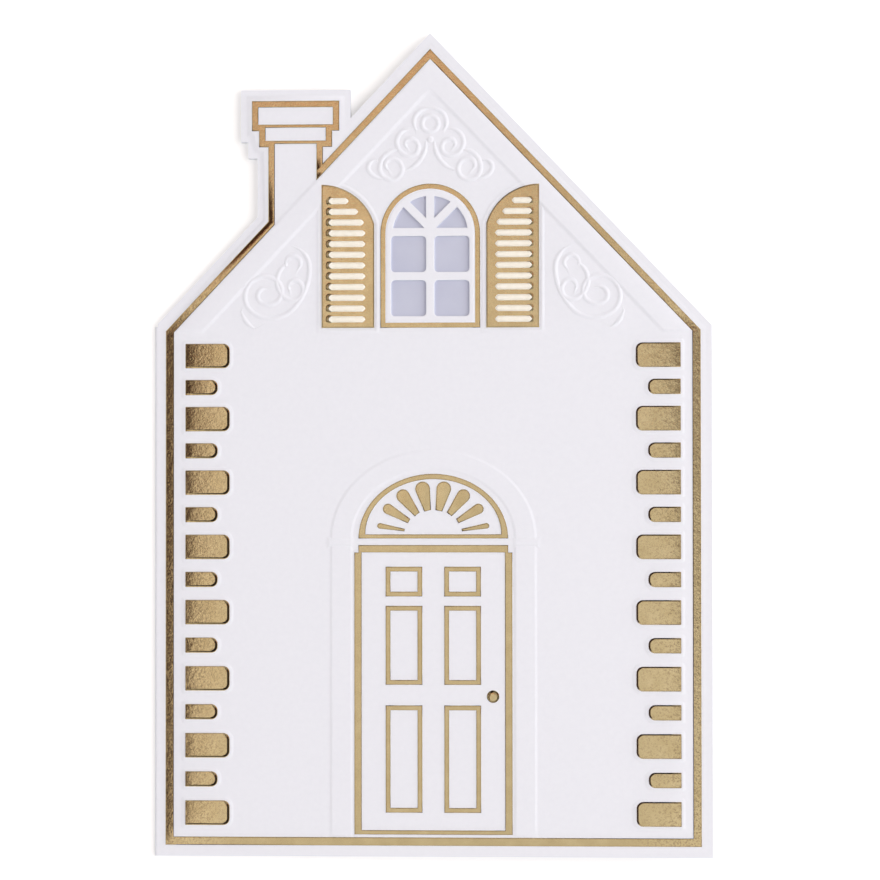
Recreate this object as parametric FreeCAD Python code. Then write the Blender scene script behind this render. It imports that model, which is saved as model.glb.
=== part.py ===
"""A house-shaped greeting card: one folded, embossed sheet with gold foil stamped on its front.

Millimetres. The card lies on its back panel: X runs across the card, Y up the house, Z out of its front.
The front is laid out flat, with y measured up from the bottom edge, then turned up about the fold.
"""
import FreeCAD, Part
import math
import os

V = FreeCAD.Vector
tiny = 1e-6                   # differences under this count as none
corner_step = 45              # degrees turned by each flat of a small round corner

# The sheet
card_width = 120.0
wall_height = 114.0
gable_height = 63.2           # from the top of the wall to the peak
gable_x = -0.4                # the gable and its window stand a little left of the middle
paper = 0.4
fold_gap = 0.4                # space between the panels at the fold
open_angle = 1.5              # degrees that the front springs up from the back

# The chimney's outline, on the left slope
chimney_x = -29.45
stem_half = 8.3
tier_half = 10.3
cap_half = 11.85
stem_length = 12.7
tier_height = 3.5
cap_height = 11.3

# The raised front
margin = 1.1                  # flat rim of the front
bevel = 1.15                  # run of the slope from the rim up to the house
house_rise = 0.35
foil_rise = 0.15              # height of the stamped lines above the house front
band_rise = 0.25
surround_rise = 0.25
stone_rise = 0.3
shutter_rise = 0.35
scroll_rise = 0.3
slat_rise = 0.2               # height of a louvre above its shutter's foil
foil = 0.05                   # thickness of the stamped foil
root = 0.1                    # depth to which a raised shape is carried into the sheet

# Foil lines round the house
foil_inset = 2.4
wall_line = 1.8
roof_line = 1.5
chimney_line = 1.4
joint_line = 0.7              # thin line between two boxes of the chimney

# Roof boards
band_width = 4.5
band_foot = 1.2               # how far the boards' feet reach below the top of the wall

# Corner stones, long and short in turn
stone_count = 15
stone_gap = 2.5               # from the foil line to the stones
stone_head = 3.7              # from the highest stone to the top of the wall
stone_bow = 1.0               # the courses crowd a little towards the roof
large_stone = 9.6
large_stone_height = 5.3
small_stone = 7.0
small_stone_height = 3.3
stone_corner = 1.4
stone_lip = 0.6               # white lip of paper round each stone

# Window
window_drop = 0.4             # from the top of the wall down to the window's foot
window_jamb = 20.3            # height of the springing above the foot
window_half = 10.75
window_line = 1.1
sash = 1.2
sash_foot = 1.4
sash_crown = 1.55
fan_lift = 1.2                # height of the fan's foot above the springing
muntin = 1.75
pane_corner = 0.5
glazing = 0.1
glazing_lap = 1.1             # width of the glued edge round the panes

# Shutters
shutter_gap = 1.3
shutter_width = 11.4
shutter_height = 30.9
shutter_arc = 11.9
slat_count = 12
slat_height = 1.3
slat_foot = 1.85
slat_head = 3.55
slat_far_end = 1.55           # foil left beside a louvre's outer end
slat_near_end = 1.9
slat_point = 0.45             # length of a louvre's pointed ends

# Door
door_x = 0.2
door_step = 0.6               # from the foil line up to the door's frame
door_height = 60.5
door_half = 17.0
door_line = 1.6
sill_line = 0.95
lintel = 1.6
lintel_setback = 0.9
stile = 5.15
mullion_half = 2.35
panel_line = 1.05
low_panel = 23.0
high_panel = 6.4
bottom_rail = 4.7
lock_rail = 4.4
frieze_rail = 2.0
top_rail = 3.05
knob_height = 29.6            # above the door's foot
knob_radius = 1.35

# Fanlight over the door
fan_gap = 1.4                 # from the lintel to the fanlight
fan_rise = 13.9
fan_line = 1.5
fan_crown_line = 1.15
fan_foot_line = 0.9
petal_count = 8
petal_lift = 0.75             # from the arch's springing to the point that the petals fan out from
petal_inner = 0.39            # where the two round ends of a petal lie, as shares of the way to the arch
petal_outer = 0.725
petal_root = 0.76
petal_tip = 1.62
petal_slim = 0.6              # how fast a petal narrows the flatter it lies

# Raised door surround
surround_gap = 0.3
pilaster = 4.95
crown_gap = 0.8
crown = 4.45
impost_height = 1.7
impost_reach = 0.5

# Scrollwork: each stroke is a start, a heading in degrees, and arcs of (radius, turn in degrees)
scroll_width = 0.75
scroll_step = 30              # degrees turned by each flat of a ridge
gable_scroll_lift = 20.95     # above the window's crown
gable_strokes = (
    ((0.5, -4.7), 0, ((3.0, -125),)),
    ((4.3, -9.1), 0, ((2.9, -180), (1.8, -180), (1.1, -150))),
    ((0.9, -12.0), -90, ((6.4, 68),)),
    ((7.0, -13.6), 0, ((3.9, -90), (2.6, -90), (2.3, -180), (1.35, -150))),
    ((10.4, -19.8), 0, ((3.2, 60), (1.6, 130))),
)
gable_ring_drop = 8.0
gable_ring = 1.75
gable_bead_drop = 11.4
gable_bead = 0.5
corner_scroll_x = 28.6
corner_scroll_lift = 16.6     # above the top of the wall
corner_strokes = (
    ((0.0, 0.0), -35, ((5.0, -55), (12.5, -45), (6.6, -80), (4.3, -180), (2.9, -180), (1.7, -170))),
    ((-2.9, -3.2), 212, ((4.3, 125), (2.2, 170), (1.4, 160))),
    ((-2.9, -3.6), 110, ((1.6, -250),)),
    ((-12.6, -13.4), -75, ((6.0, 45),)),
)

# Heights and places that follow from the sizes above
half_width = card_width / 2
peak_height = wall_height + gable_height
fold_inner = fold_gap / 2
fold_outer = fold_inner + paper
fold_x = fold_outer - half_width
fold_z = fold_outer
rim_z = fold_z + fold_inner + paper
house_z = rim_z + house_rise
wall_inset = foil_inset + wall_line
roof_inset = foil_inset + roof_line
window_foot = wall_height - window_drop
window_springing = window_foot + window_jamb
pane_half = window_half - window_line - sash
pane_foot = window_foot + window_line + sash_foot
fan_foot = window_springing + fan_lift
pane_height = (fan_foot - pane_foot) / 2 - muntin
fan_radius = window_half - window_line - sash_crown
shutter_near = gable_x + window_half + shutter_gap
shutter_far = shutter_near + shutter_width
shutter_arc_y = window_foot + shutter_height - shutter_arc
slat_pitch = (shutter_height - slat_foot - slat_head) / (slat_count - 1)
door_foot = wall_inset + door_step
door_top = door_foot + door_height
door_inner = door_half - door_line
lintel_half = door_half - lintel_setback
arch_springing = door_top + lintel + fan_gap
surround_inner = door_half + surround_gap
surround_half = surround_inner + pilaster


def face(points):
    """A flat face with straight sides through the points."""
    loop = [V(x, y, 0) for x, y in points]
    return Part.Face(Part.makePolygon(loop + loop[:1]))


def rectangle(left, low, right, high):
    return face([(left, low), (right, low), (right, high), (left, high)])


def slab(flat, low, high):
    """The solid of a flat face between two heights."""
    return flat.translated(V(0, 0, low)).extrude(V(0, 0, high - low))


def mirrored(shape, x):
    """The shape's mirror image in the upright plane at x."""
    return shape.mirror(V(x, 0, 0), V(1, 0, 0))


def joined(flats):
    """One flat shape from several that meet or overlap."""
    return flats[0].multiFuse(flats[1:]).removeSplitter() if len(flats) > 1 else flats[0]


def inset(points, distances):
    """The outline that runs inside another, one distance for each side, the first from point 0 to 1."""
    sides = []
    for i, (x0, y0) in enumerate(points):
        x1, y1 = points[(i + 1) % len(points)]
        length = math.hypot(x1 - x0, y1 - y0)
        nx, ny = (y0 - y1) / length, (x1 - x0) / length
        sides.append((nx, ny, nx * x0 + ny * y0 + distances[i]))
    corners = []
    for i, (a1, b1, c1) in enumerate(sides):
        a0, b0, c0 = sides[i - 1]
        det = a0 * b1 - a1 * b0
        corners.append(((c0 * b1 - c1 * b0) / det, (a0 * c1 - a1 * c0) / det))
    return corners


def bend(x, y, radius, start, turn, step=corner_step):
    """Points on an arc about x, y, from one angle in degrees through a turn, in about equal steps."""
    count = max(1, math.ceil(abs(turn) / step - tiny))
    angles = [math.radians(start + turn * i / count) for i in range(count + 1)]
    return [(x + radius * math.cos(a), y + radius * math.sin(a)) for a in angles]


def rounded(left, low, right, high, left_radius, right_radius):
    """A rectangle whose left and right corners have their own radii; a radius of 0 leaves them square."""
    points = []
    for x, y, radius, start in ((left, low, left_radius, 180), (right, low, right_radius, 270),
                                (right, high, right_radius, 0), (left, high, left_radius, 90)):
        cx = x + radius if x == left else x - radius
        cy = y + radius if y == low else y - radius
        points += bend(cx, cy, radius, start, 90) if radius else [(x, y)]
    return face(points)


def arch(x, low, springing, half, rise):
    """A doorway shape: straight jambs up to the springing, then half a circle or a flatter ellipse."""
    curve = Part.Circle(V(x, springing, 0), V(0, 0, 1), half)
    if rise < half:
        curve = Part.Ellipse(V(x, springing, 0), half, rise)
    right, left = V(x + half, springing, 0), V(x - half, springing, 0)
    path = [left, V(x - half, low, 0), V(x + half, low, 0), right] if low < springing else [left, right]
    sides = [Part.makeLine(*ends) for ends in zip(path, path[1:])]
    return Part.Face(Part.Wire([Part.Arc(curve, 0, math.pi).toShape()] + sides))


def disc(x, y, radius):
    return Part.Face(Part.Wire(Part.makeCircle(radius, V(x, y, 0))))


def stroke(start, heading, arcs):
    """A ridge of even width along arcs that run into each other."""
    x, y = start
    half = scroll_width / 2
    left_side, right_side = [], []
    for radius, turn in arcs:
        side = math.copysign(1, turn)
        across = math.radians(heading + 90 * side)
        cx, cy = x + radius * math.cos(across), y + radius * math.sin(across)
        first = heading - 90 * side
        left_side += bend(cx, cy, radius - side * half, first, turn, scroll_step)[1:]
        right_side += bend(cx, cy, radius + side * half, first, turn, scroll_step)[1:]
        x, y = bend(cx, cy, radius, first, turn, scroll_step)[-1]
        heading += turn
    first = math.radians(heading - sum(turn for _, turn in arcs) + 90)
    dx, dy = half * math.cos(first), half * math.sin(first)
    left_side.insert(0, (start[0] + dx, start[1] + dy))
    right_side.insert(0, (start[0] - dx, start[1] - dy))
    return face(left_side + right_side[::-1])


def left_roof(x):
    """Height of the left slope's edge at x."""
    return wall_height + gable_height * (x + half_width) / (gable_x + half_width)


def house_outline():
    """The house without its chimney, anticlockwise from the bottom left corner."""
    return [(-half_width, 0), (half_width, 0), (half_width, wall_height), (gable_x, peak_height),
            (-half_width, wall_height)]


def chimney_steps():
    """The heights where the chimney's stem leaves the roof, its tier and cap begin, and it ends."""
    stem = left_roof(chimney_x - stem_half)
    tier = stem + stem_length
    cap = tier + tier_height
    return stem, tier, cap, cap + cap_height


def card_outline():
    """The whole die-cut outline: the house with its chimney on the left slope."""
    stem, tier, cap, top = chimney_steps()
    cap_right, cap_left = chimney_x + cap_half, chimney_x - cap_half
    tier_left, stem_left = chimney_x - tier_half, chimney_x - stem_half
    chimney = [(cap_right, left_roof(cap_right)), (cap_right, top), (cap_left, top), (cap_left, cap),
               (tier_left, cap), (tier_left, tier), (stem_left, tier), (stem_left, stem)]
    house = house_outline()
    return house[:4] + chimney + house[4:]


def border_ring():
    """The foil line round the house, open where the chimney's stem stands."""
    house = house_outline()
    outer = inset(house, [foil_inset] * 5)
    inner = inset(house, [wall_inset, wall_inset, roof_inset, roof_inset, wall_inset])
    reach = stem_half - foil_inset - chimney_line
    stem = rectangle(chimney_x - reach, wall_height, chimney_x + reach, peak_height)
    return face(outer).cut(face(inner)).cut(stem)


def chimney_lines():
    """The foil boxes of the chimney: cap, tier and stem, down to the roof's foil line."""
    _, tier, cap, top = chimney_steps()
    tier_low, cap_low, cap_high = tier + foil_inset, cap + foil_inset, top - foil_inset
    tier_floor, cap_floor = tier_low + chimney_line, cap_low + chimney_line
    boxes = ((cap_half, cap_low, cap_high, cap_floor, cap_high - chimney_line),
             (tier_half, tier_low, cap_low, tier_floor, cap_floor - joint_line),
             (stem_half, wall_height, tier_low, wall_height, tier_floor - joint_line))
    solid, hollow = [], []
    for half, low, high, floor, ceiling in boxes:
        reach = half - foil_inset
        solid.append(rectangle(chimney_x - reach, low, chimney_x + reach, high))
        reach -= chimney_line
        hollow.append(rectangle(chimney_x - reach, floor, chimney_x + reach, ceiling))
    under_roof_line = face(inset(house_outline(), [foil_inset] * 5))
    return joined(solid).cut(Part.makeCompound(hollow)).cut(under_roof_line)


def roof_bands():
    """The raised boards under both slopes."""
    house = house_outline()
    outer = face(inset(house, [0, wall_inset, roof_inset, roof_inset, wall_inset]))
    low_edge = roof_inset + band_width
    inner = face(inset(house, [0, 0, low_edge, low_edge, 0]))
    below = rectangle(-half_width, 0, half_width, wall_height - band_foot)
    return outer.cut(inner).cut(below)


def stone_faces(lip):
    """The corner stones of the right wall, grown all round by lip; their inner corners are round."""
    faces = []
    last = stone_count - 1
    outer = half_width - wall_inset - stone_gap
    lowest = wall_inset + stone_gap + large_stone_height / 2
    highest = wall_height - stone_head - large_stone_height / 2
    for i in range(stone_count):
        length, height = (small_stone, small_stone_height) if i % 2 else (large_stone, large_stone_height)
        y = lowest + (highest - lowest) * i / last + stone_bow * math.sin(math.pi * i / last)
        reach = height / 2 + lip
        inner = outer - length
        faces.append(rounded(inner - lip, y - reach, outer + lip, y + reach, stone_corner + lip, 0))
    return faces


def shutter():
    """The right shutter: a tall panel with a quarter-round top that falls towards the window."""
    low = shutter_arc_y + math.sqrt(shutter_arc ** 2 - shutter_width ** 2)
    half_turn = math.pi / 2 + math.asin(shutter_width / shutter_arc) / 2
    peak = V(shutter_far, shutter_arc_y + shutter_arc, 0)
    middle = V(shutter_far + shutter_arc * math.cos(half_turn),
               shutter_arc_y + shutter_arc * math.sin(half_turn), 0)
    corners = [V(shutter_near, low, 0), V(shutter_near, window_foot, 0), V(shutter_far, window_foot, 0), peak]
    sides = [Part.makeLine(*ends) for ends in zip(corners, corners[1:])]
    return Part.Face(Part.Wire([Part.Arc(peak, middle, corners[0]).toShape()] + sides))


def slats():
    """The louvres of the right shutter, pointed at both ends, the upper ones cut short by its round top."""
    faces = []
    radius = slat_height / 2
    for i in range(slat_count):
        y = window_foot + slat_foot + slat_pitch * i
        drop = y + radius - shutter_arc_y
        reach = shutter_width
        if drop > 0:
            reach = min(reach, math.sqrt(shutter_arc ** 2 - drop ** 2))
        near, far = shutter_far - reach + slat_near_end, shutter_far - slat_far_end
        faces.append(face([(near, y), (near + slat_point, y - radius), (far - slat_point, y - radius),
                           (far, y), (far - slat_point, y + radius), (near + slat_point, y + radius)]))
    return faces


def window_frame():
    """The foil line round the window."""
    frame = arch(gable_x, window_foot, window_springing, window_half, window_half)
    opening = window_half - window_line
    return frame.cut(arch(gable_x, window_foot + window_line, window_springing, opening, opening))


def panes():
    """The die-cut window panes: two rows of two, and a fan of four above."""
    cut = []
    for row in range(2):
        low = pane_foot + row * (pane_height + muntin)
        for side in (-1, 1):
            ends = sorted((gable_x + side * muntin / 2, gable_x + side * pane_half))
            cut.append(rounded(ends[0], low, ends[1], low + pane_height, pane_corner, pane_corner))
    fan = disc(gable_x, window_springing, fan_radius)
    fan = fan.cut(rectangle(gable_x - window_half, window_foot, gable_x + window_half, fan_foot))
    for angle in (45, 90, 135):
        bar = rectangle(0, -muntin / 2, window_half, muntin / 2)
        bar.rotate(V(0, 0, 0), V(0, 0, 1), angle)
        fan = fan.cut(bar.translated(V(gable_x, fan_foot, 0)))
    return cut + fan.Faces


def glazing_patch():
    """The translucent sheet behind the window, lapped behind the frame all round."""
    reach = pane_half + glazing_lap
    return arch(gable_x, pane_foot - glazing_lap, window_springing, reach, reach)


def fanlight_arch():
    """The foil line round the fanlight."""
    outer = arch(door_x, arch_springing, arch_springing, lintel_half, fan_rise)
    foot = arch_springing + fan_foot_line
    inner_rise = fan_rise - fan_crown_line - fan_foot_line
    return outer.cut(arch(door_x, foot, foot, lintel_half - fan_line, inner_rise))


def petals():
    """Drop-shaped petals that fan out from the middle of the fanlight's foot."""
    drops = []
    for i in range(petal_count):
        turn = math.pi * (i + 0.5) / petal_count
        dx, dy = lintel_half * math.cos(turn), fan_rise * math.sin(turn)
        slim = math.sin(turn) ** petal_slim
        ends = []
        for share, radius in ((petal_inner, petal_root), (petal_outer, petal_tip)):
            y = arch_springing + petal_lift + share * dy
            ends.append((door_x + share * dx, y, radius * slim))
        drops.append(drop(*ends))
    return drops


def drop(small, large):
    """A petal between two circles, each given as x, y and radius: it is cut off straight at the small one."""
    x0, y0, r0 = small
    x1, y1, r1 = large
    along = math.degrees(math.atan2(y1 - y0, x1 - x0))
    lean = 90 + math.degrees(math.asin((r1 - r0) / math.hypot(x1 - x0, y1 - y0)))
    right, left = bend(x0, y0, r0, along - lean, 2 * lean, 2 * lean)
    return face([right] + bend(x1, y1, r1, along - lean, 2 * lean) + [left])


def door_frame():
    """The foil round the door: jambs, a thin sill line and the lintel over them."""
    right = [(door_half, door_foot), (door_half, door_top), (lintel_half, door_top),
             (lintel_half, door_top + lintel)]
    left = [(-x, y) for x, y in right[::-1]]
    outer = face([(door_x + x, y) for x, y in right + left])
    return outer.cut(rectangle(door_x - door_inner, door_foot + sill_line, door_x + door_inner, door_top))


def door_panels():
    """The foil frames of the six door panels; the middle ones fill what the others leave."""
    frames = []
    low_top = door_foot + bottom_rail + low_panel
    high_foot = door_top - top_rail - high_panel
    rows = ((door_foot + bottom_rail, low_top), (low_top + lock_rail, high_foot - frieze_rail),
            (high_foot, high_foot + high_panel))
    for low, high in rows:
        for side in (-1, 1):
            ends = sorted((door_x + side * mullion_half, door_x + side * (door_inner - stile)))
            outer = rectangle(ends[0], low, ends[1], high)
            inner = rectangle(ends[0] + panel_line, low + panel_line,
                              ends[1] - panel_line, high - panel_line)
            frames.append(outer.cut(inner))
    return frames


def door_knob():
    return disc(door_x + door_inner - stile / 2, door_foot + knob_height, knob_radius)


def door_surround():
    """The raised white surround: an arch on two pilasters, with an impost at the springing."""
    inner_rise = fan_rise + crown_gap
    outer = arch(door_x, wall_inset, arch_springing, surround_half, inner_rise + crown)
    opening = arch(door_x, 0, arch_springing, surround_inner, inner_rise)
    parts = [outer.cut(opening)]
    for side in (-1, 1):
        ends = sorted((door_x + side * surround_inner, door_x + side * (surround_half + impost_reach)))
        parts.append(rectangle(ends[0], arch_springing - impost_height, ends[1], arch_springing))
    return joined(parts)


def scrolls():
    """The scrollwork in the gable and in the two corners under the roof."""
    ridges = []
    top = window_springing + window_half + gable_scroll_lift
    for (x, y), heading, arcs in gable_strokes:
        ridge = stroke((gable_x + x, top + y), heading, arcs)
        ridges += [ridge, mirrored(ridge, gable_x)]
    ring_y = top - gable_ring_drop
    rims = [face(bend(gable_x, ring_y, gable_ring + side * scroll_width / 2, 0, 360, scroll_step)[:-1])
            for side in (1, -1)]
    ridges.append(rims[0].cut(rims[1]))
    ridges.append(face(bend(gable_x, top - gable_bead_drop, gable_bead, 0, 360, scroll_step)[:-1]))
    for (x, y), heading, arcs in corner_strokes:
        ridge = stroke((x - corner_scroll_x, wall_height + corner_scroll_lift + y), heading, arcs)
        ridges += [ridge, mirrored(ridge, 0)]
    return ridges


def sheet(points, low):
    """One panel of the card, from the fold's edge to the die-cut outline."""
    panel = slab(face(points), low, low + paper)
    beyond = Part.makeBox(card_width, peak_height, house_z, V(fold_x - card_width, 0, 0))
    return panel.cut(beyond)


def fold():
    """The bend that joins the panels along the left wall."""
    turned = math.radians(90 + open_angle)

    def on(radius, angle):
        return V(fold_x + radius * math.cos(angle), 0, fold_z + radius * math.sin(angle))

    angles = (-math.pi / 2, (turned + 1.5 * math.pi) / 2, turned)
    outer = [on(fold_outer, a) for a in angles]
    inner = [on(fold_inner, a) for a in angles]
    edges = [Part.Arc(*outer).toShape(), Part.makeLine(outer[2], inner[2]),
             Part.Arc(*inner[::-1]).toShape(), Part.makeLine(inner[0], outer[0])]
    return Part.Face(Part.Wire(edges)).extrude(V(0, wall_height, 0))


def opened(shape):
    """Turns a piece of the flat front up about the fold."""
    return shape.rotate(V(fold_x, 0, fold_z), V(0, 1, 0), -open_angle)


def raised(flats, rise):
    return [slab(flat, house_z - root, house_z + rise) for flat in flats]


def foil_fields():
    """Each stamped field: its node's name, its flat faces and its height above the house front."""
    right_shutter = shutter().cut(Part.makeCompound(slats()))
    right_stones = stone_faces(0)
    return (
        ("border_foil", border_ring().Faces, foil_rise),
        ("chimney_foil", chimney_lines().Faces, foil_rise),
        ("window_frame_foil", window_frame().Faces, foil_rise),
        ("left_shutter_foil", mirrored(right_shutter, gable_x).Faces, shutter_rise),
        ("right_shutter_foil", right_shutter.Faces, shutter_rise),
        ("fanlight_foil", fanlight_arch().Faces + petals(), foil_rise),
        ("door_frame_foil", door_frame().Faces, foil_rise),
        ("door_panel_foil", [flat for frame in door_panels() for flat in frame.Faces], foil_rise),
        ("door_knob_foil", [door_knob()], foil_rise),
        ("left_stone_foil", [mirrored(stone, 0) for stone in right_stones], stone_rise),
        ("right_stone_foil", right_stones, stone_rise),
    )


def card():
    """The folded sheet: back panel, fold, and the embossed and die-cut front panel."""
    outline = card_outline()
    sides = len(outline)
    front = sheet(outline, rim_z - paper)
    loops = [Part.makePolygon([V(x, y, z) for x, y in ring + ring[:1]]) for ring, z in
             ((inset(outline, [margin] * sides), rim_z), (inset(outline, [margin + bevel] * sides), house_z))]
    house = Part.makeLoft(loops, True, True)
    front = front.fuse(house).cut(house.translated(V(0, 0, -paper)))
    shapes = raised(roof_bands().Faces, band_rise) + raised(door_surround().Faces, surround_rise)
    shapes += raised(scrolls(), scroll_rise)
    lips = stone_faces(stone_lip)
    shapes += raised(lips + [mirrored(lip, 0) for lip in lips], stone_rise)
    panels = [shutter(), mirrored(shutter(), gable_x)]
    shapes += raised(panels, shutter_rise)
    louvres = slats()
    shapes += raised(louvres + [mirrored(slat, gable_x) for slat in louvres], shutter_rise + foil + slat_rise)
    for _, flats, rise in foil_fields():
        if rise == foil_rise:
            shapes += raised(flats, rise)
    front = front.multiFuse(shapes)
    front = front.cut(Part.makeCompound([slab(pane, 0, house_z + foil_rise) for pane in panes()]))
    return sheet(outline, 0).multiFuse([fold(), opened(front)]).removeSplitter()


def write(name, shape):
    """Writes one node, moved so that the card's middle is at the origin."""
    shape = shape.translated(V(0, -peak_height / 2, 0))
    shape.exportStep(f"parts/{name}.step")
    print(name, "solids", len(shape.Solids), "valid", shape.isValid(), "volume", round(shape.Volume, 3))


os.makedirs("parts", exist_ok=True)
write("card", card())
under_house = house_z - paper
write("window_glazing", opened(slab(glazing_patch(), under_house - glazing, under_house)))
for name, flats, rise in foil_fields():
    low = house_z + rise
    write(name, Part.makeCompound([opened(slab(flat, low, low + foil)) for flat in flats]))
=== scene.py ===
import math

import bpy
import numpy as np
from mathutils.geometry import delaunay_2d_cdt
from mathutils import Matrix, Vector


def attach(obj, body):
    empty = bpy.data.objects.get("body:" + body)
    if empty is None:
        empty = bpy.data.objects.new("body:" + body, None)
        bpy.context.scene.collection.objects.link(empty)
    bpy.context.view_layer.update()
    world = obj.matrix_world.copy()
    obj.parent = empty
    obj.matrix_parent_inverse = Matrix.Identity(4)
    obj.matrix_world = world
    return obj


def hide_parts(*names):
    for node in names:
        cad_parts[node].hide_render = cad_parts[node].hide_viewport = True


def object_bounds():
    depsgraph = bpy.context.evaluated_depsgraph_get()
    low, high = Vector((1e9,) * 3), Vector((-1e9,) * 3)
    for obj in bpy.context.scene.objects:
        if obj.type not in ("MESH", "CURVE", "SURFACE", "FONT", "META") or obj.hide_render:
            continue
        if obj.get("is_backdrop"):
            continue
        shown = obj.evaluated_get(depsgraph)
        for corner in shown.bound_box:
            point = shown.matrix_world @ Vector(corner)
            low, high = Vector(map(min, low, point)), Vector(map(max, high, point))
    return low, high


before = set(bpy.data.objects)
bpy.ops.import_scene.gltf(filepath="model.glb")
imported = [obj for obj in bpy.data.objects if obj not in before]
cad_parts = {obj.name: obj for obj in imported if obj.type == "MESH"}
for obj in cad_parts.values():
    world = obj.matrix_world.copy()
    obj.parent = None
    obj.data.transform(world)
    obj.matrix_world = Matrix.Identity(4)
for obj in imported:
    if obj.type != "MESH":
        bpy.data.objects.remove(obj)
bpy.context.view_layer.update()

# Millimetres: x from the middle of the card, y up from its foot, heights from the house front
card_width = 120.0
half_width = card_width / 2
wall_height = 114.0
gable_height = 63.2
gable_x = -0.4
peak_height = wall_height + gable_height
paper = 0.4
open_angle = math.radians(1.5)
fold_inner = 0.2
fold_outer = 0.6
fold_x = fold_outer - half_width
house_z = 1.55
house_rise = 0.35             # the front over its rim
edge_lean = 0.31              # how far the front bends down beside its walls, over edge_run
edge_run = 6.0
lean_rise = 6.0               # the bend ends this far above the walls, and fades over lean_fade
lean_fade = 8.0
margin = 1.1
bevel = 1.15

chimney_x = -29.45
stem_half = 8.3
tier_half = 10.3
cap_half = 11.85
stem_length = 12.7
tier_height = 3.5
cap_height = 11.3

foil_inset = 2.4
wall_inset = 4.2
roof_inset = 3.9
chimney_line = 1.4
joint_line = 0.7
band_width = 4.5
band_foot = 1.2
foil_rise = 0.15
foil_out = 0.08
foil_in = 0.16

window_foot = 113.6
window_springing = 133.9
window_half = 10.75
window_line = 1.1
muntin = 1.75
pane_half = 8.45
pane_foot = 116.1
pane_height = 7.75
pane_corner = 0.8
pane_lip = 0.25
pane_dip = 0.05
fan_foot = 135.1
fan_radius = 8.1

shutter_gap = 1.3
shutter_width = 11.4
shutter_arc = 11.9
shutter_arc_y = 132.6
slat_count = 12
slat_pitch = 2.318
slat_foot = 1.85
slat_half = 0.65

door_x = 0.2
door_foot = 4.8
door_top = 65.3
door_half = 17.0
door_inner = 15.4
lintel = 1.6
lintel_half = 16.1
arch_springing = 68.3
fan_rise = 13.9
surround_inner = 17.3
surround_outer = 22.25
surround_rise = 14.7
surround_band = 4.45
impost_outer = 22.75
impost_height = 1.7

stone_count = 15
stone_gap = 2.5
stone_top_gap = 3.7
long_stone = (9.6, 5.3)
short_stone = (7.0, 3.3)
stone_outer = half_width - wall_inset - stone_gap
stone_lip = 0.6
stone_rise = 0.48
stone_top = 0.4               # where the slope of a stone's edge is cut off

ridge_half = 0.66
ridge_rise = 0.19
ring_gap = 0.02               # the outermost and innermost contour of a slope stand this far off it
uncut = 9.0                   # a slope of this height isn't cut off
fold_points = 17
lift = 0.02                   # foil over the paper
sunk = 0.01
to_metres = 0.001


# Plain shapes: a loop is anticlockwise round a raised shape and clockwise round a hole in it
def box(left, low, right, high):
    return np.array([(left, low), (right, low), (right, high), (left, high)])


def arc(x, y, rx, ry, start, turn, step=6.0):
    count = max(2, math.ceil(abs(turn) / step))
    angles = np.radians(start + turn * np.arange(count + 1) / count)
    return np.column_stack([x + rx * np.cos(angles), y + ry * np.sin(angles)])


def rounded(left, low, right, high, left_radius, right_radius, step=15.0):
    parts = []
    for x, y, radius, start in ((left, low, left_radius, 180), (right, low, right_radius, 270),
                                (right, high, right_radius, 0), (left, high, left_radius, 90)):
        cx = x + radius if x == left else x - radius
        cy = y + radius if y == low else y - radius
        parts.append(arc(cx, cy, radius, radius, start, 90, step))
    return np.concatenate(parts)


def arch(x, low, springing, half, rise):
    top = arc(x, springing, half, rise, 0, 180, 4.0)
    if low < springing:
        top = np.concatenate([[(x - half, low), (x + half, low)], top])
    return top


def mirrored(loop, x=0.0):
    return (loop * [-1, 1] + [2 * x, 0])[::-1]


def hole(loop):
    return loop[::-1]


def inset(points, distances):
    """The outline that runs inside another, one distance for each side, the first from point 0 to 1."""
    points = np.asarray(points, float)
    along = np.roll(points, -1, axis=0) - points
    normal = np.column_stack([-along[:, 1], along[:, 0]]) / np.linalg.norm(along, axis=1)[:, None]
    level = (normal * points).sum(1) + np.asarray(distances, float)
    corners = []
    for i in range(len(points)):
        corners.append(np.linalg.solve([normal[i - 1], normal[i]], [level[i - 1], level[i]]))
    return np.array(corners)


def shifted(loop, reach):
    """The loop moved to its left by reach, into a raised shape or out of a hole."""
    along = np.roll(loop, -1, axis=0) - loop
    length = np.linalg.norm(along, axis=1)
    loop, along, length = loop[length > 1e-6], along[length > 1e-6], length[length > 1e-6]
    normal = np.column_stack([-along[:, 1], along[:, 0]]) / length[:, None]
    before = np.roll(normal, 1, axis=0)
    joint = (normal + before) / np.maximum(1 + (normal * before).sum(1), 0.35)[:, None]
    return loop + joint * reach


def smooth(t):
    t = np.clip(t, 0, 1)
    return t * t * (3 - 2 * t)


def signed(points, loops):
    """Distance of each point from the nearest loop, positive in the raised shape."""
    x, y = points[:, 0], points[:, 1]
    best = np.full(len(points), 1e9)
    within = np.zeros(len(points), bool)
    for loop in loops:
        for (x0, y0), (x1, y1) in zip(loop, np.roll(loop, -1, axis=0)):
            dx, dy = x1 - x0, y1 - y0
            if dx * dx + dy * dy < 1e-12:
                continue
            t = np.clip(((x - x0) * dx + (y - y0) * dy) / (dx * dx + dy * dy), 0, 1)
            np.minimum(best, (x0 + t * dx - x) ** 2 + (y0 + t * dy - y) ** 2, out=best)
            if dy:
                within ^= ((y0 > y) != (y1 > y)) & (x < x0 + (y - y0) * dx / dy)
    return np.where(within, 1, -1) * np.sqrt(best)


# Outlines
def roof_left(x, depth):
    slope = gable_height / (gable_x + half_width)
    return wall_height + slope * (x + half_width) - depth * math.hypot(1, slope)


def roof_right(x, depth):
    slope = gable_height / (half_width - gable_x)
    return wall_height + slope * (half_width - x) - depth * math.hypot(1, slope)


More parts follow.
